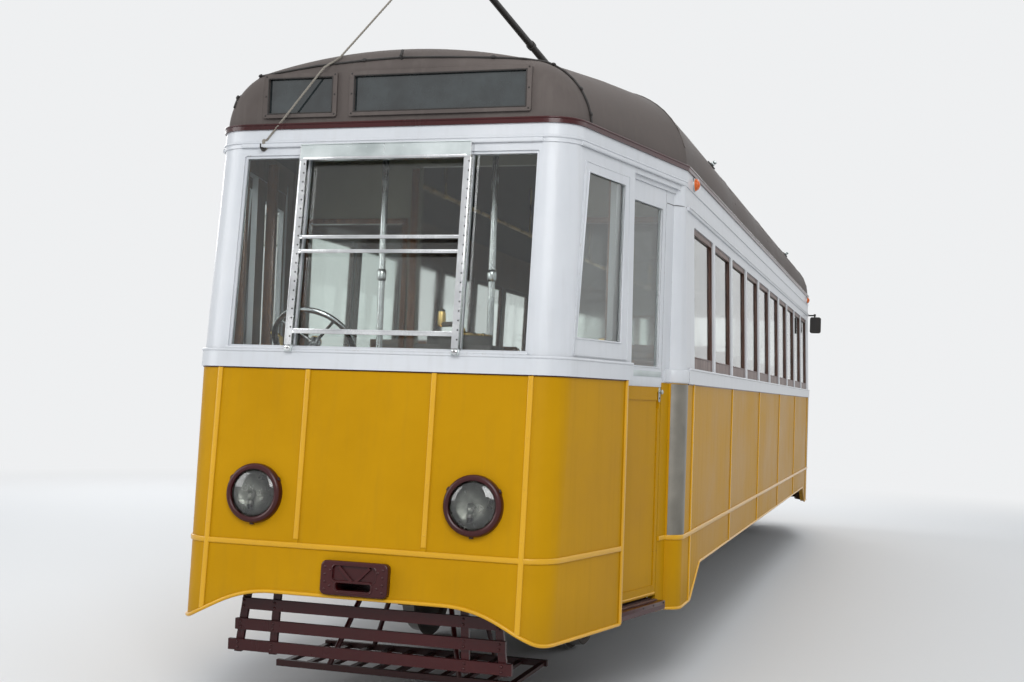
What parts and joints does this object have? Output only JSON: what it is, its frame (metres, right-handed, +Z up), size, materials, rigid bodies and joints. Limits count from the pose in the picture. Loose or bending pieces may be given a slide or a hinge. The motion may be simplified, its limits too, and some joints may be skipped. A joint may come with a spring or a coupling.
{
  "type": "bogie tram",
  "caption": "Double-ended single-deck electric tram on two bogies, with tapered ends, sliding platform doors, windscreen, interior seats and a roof trolley pole.",
  "frame": {"origin": "middle of the car in plan, at the lowest point of the wheels", "axes": "+Y along the car toward its rear end, +X to the side with the driver's left, +Z up"},
  "size_m": [2.62, 11.4228, 3.8428],
  "materials": {
    "yellow_paint": "gloss",
    "white_paint": "gloss",
    "grey_paint": "satin",
    "maroon_paint": "satin",
    "black_iron": "matte",
    "aluminium": "satin",
    "bright_steel": "satin",
    "wheel_steel": "satin",
    "brown_wood": "satin",
    "orange_wood": "satin",
    "floor_wood": "matte",
    "window_glass": "gloss",
    "lamp_glass": "gloss",
    "dark_glass": "gloss",
    "reflector": "gloss",
    "orange_lens": "gloss",
    "mirror_case": "satin"
  },
  "bodies": {
    "car_body": {"side_panels": "yellow_paint", "jamb_covers": "aluminium", "dashes": "yellow_paint", "window_walls": "white_paint", "end_shells": "white_paint", "cornice_trim": "maroon_paint", "sign_frames": "grey_paint", "sign_glass": "dark_glass", "roof": "grey_paint", "side_sashes": "brown_wood", "side_glass": "window_glass", "end_sashes": "white_paint", "end_glass": "window_glass", "screen_guides": "bright_steel", "floor": "floor_wood", "platform_floors": "floor_wood", "steps": "maroon_paint", "bulkheads": "orange_wood", "seat_benches": "orange_wood", "seat_stands": "black_iron", "controllers": "black_iron", "brake_wheels": "bright_steel", "grab_poles": "bright_steel", "headlamp_rims": "maroon_paint", "headlamp_glass": "lamp_glass", "headlamp_bowls": "reflector", "coupler_pockets": "maroon_paint", "underframe": "black_iron", "body_bolsters": "black_iron", "platform_bearers": "black_iron", "underfloor_gear": "black_iron", "fender_gates": "maroon_paint", "lifeguard_trays": "maroon_paint", "marker_lamps": "orange_lens", "mirrors": "mirror_case", "roof_walk": "grey_paint"},
    "door_front_right": {"door_front_right_frame": "white_paint", "door_front_right_panel": "yellow_paint", "door_front_right_glass": "window_glass"},
    "door_front_left": {"door_front_left_frame": "white_paint", "door_front_left_panel": "yellow_paint", "door_front_left_glass": "window_glass"},
    "door_rear_right": {"door_rear_right_frame": "white_paint", "door_rear_right_panel": "yellow_paint", "door_rear_right_glass": "window_glass"},
    "door_rear_left": {"door_rear_left_frame": "white_paint", "door_rear_left_panel": "yellow_paint", "door_rear_left_glass": "window_glass"},
    "bogie_front": {"bogie_frame_front": "black_iron", "motors_front": "black_iron", "brakes_front": "black_iron"},
    "bogie_rear": {"bogie_frame_rear": "black_iron", "motors_rear": "black_iron", "brakes_rear": "black_iron"},
    "wheels_1": {"wheelset_1": "wheel_steel"},
    "wheels_2": {"wheelset_2": "wheel_steel"},
    "wheels_3": {"wheelset_3": "wheel_steel"},
    "wheels_4": {"wheelset_4": "wheel_steel"},
    "trolley_swivel": {"trolley_base": "black_iron"},
    "trolley_pole": {"trolley_pole": "black_iron"}
  },
  "joints": [
    {"name": "door_front_right_slide", "type": "slide", "parent": "car_body", "child": "door_front_right", "axis": [-0.2248, -0.9744, 0], "range_m": [0, 0.4]},
    {"name": "door_front_left_slide", "type": "slide", "parent": "car_body", "child": "door_front_left", "axis": [0.2248, -0.9744, 0], "range_m": [0, 0.4]},
    {"name": "door_rear_right_slide", "type": "slide", "parent": "car_body", "child": "door_rear_right", "axis": [-0.2248, 0.9744, 0], "range_m": [0, 0.4]},
    {"name": "door_rear_left_slide", "type": "slide", "parent": "car_body", "child": "door_rear_left", "axis": [0.2248, 0.9744, 0], "range_m": [0, 0.4]},
    {"name": "bogie_front_pivot", "type": "hinge", "parent": "car_body", "child": "bogie_front", "pos_m": [0, -2.75, 0.6], "axis": [0, 0, 1], "range_deg": [-8, 8]},
    {"name": "bogie_rear_pivot", "type": "hinge", "parent": "car_body", "child": "bogie_rear", "pos_m": [0, 2.75, 0.6], "axis": [0, 0, 1], "range_deg": [-8, 8]},
    {"name": "wheels_1_roll", "type": "hinge", "parent": "bogie_front", "child": "wheels_1", "pos_m": [0, -3.475, 0.343], "axis": [-1, 0, 0], "continuous": true},
    {"name": "wheels_2_roll", "type": "hinge", "parent": "bogie_front", "child": "wheels_2", "pos_m": [0, -2.025, 0.343], "axis": [-1, 0, 0], "continuous": true},
    {"name": "wheels_3_roll", "type": "hinge", "parent": "bogie_rear", "child": "wheels_3", "pos_m": [0, 2.025, 0.343], "axis": [-1, 0, 0], "continuous": true},
    {"name": "wheels_4_roll", "type": "hinge", "parent": "bogie_rear", "child": "wheels_4", "pos_m": [0, 3.475, 0.343], "axis": [-1, 0, 0], "continuous": true},
    {"name": "trolley_swivel_turn", "type": "hinge", "parent": "car_body", "child": "trolley_swivel", "pos_m": [0, 0, 3.3], "axis": [0, 0, 1], "continuous": true},
    {"name": "trolley_pole_raise", "type": "hinge", "parent": "trolley_swivel", "child": "trolley_pole", "pos_m": [0, -0.18, 3.425], "axis": [-1, 0, 0], "range_deg": [0, 32]}
  ]
}
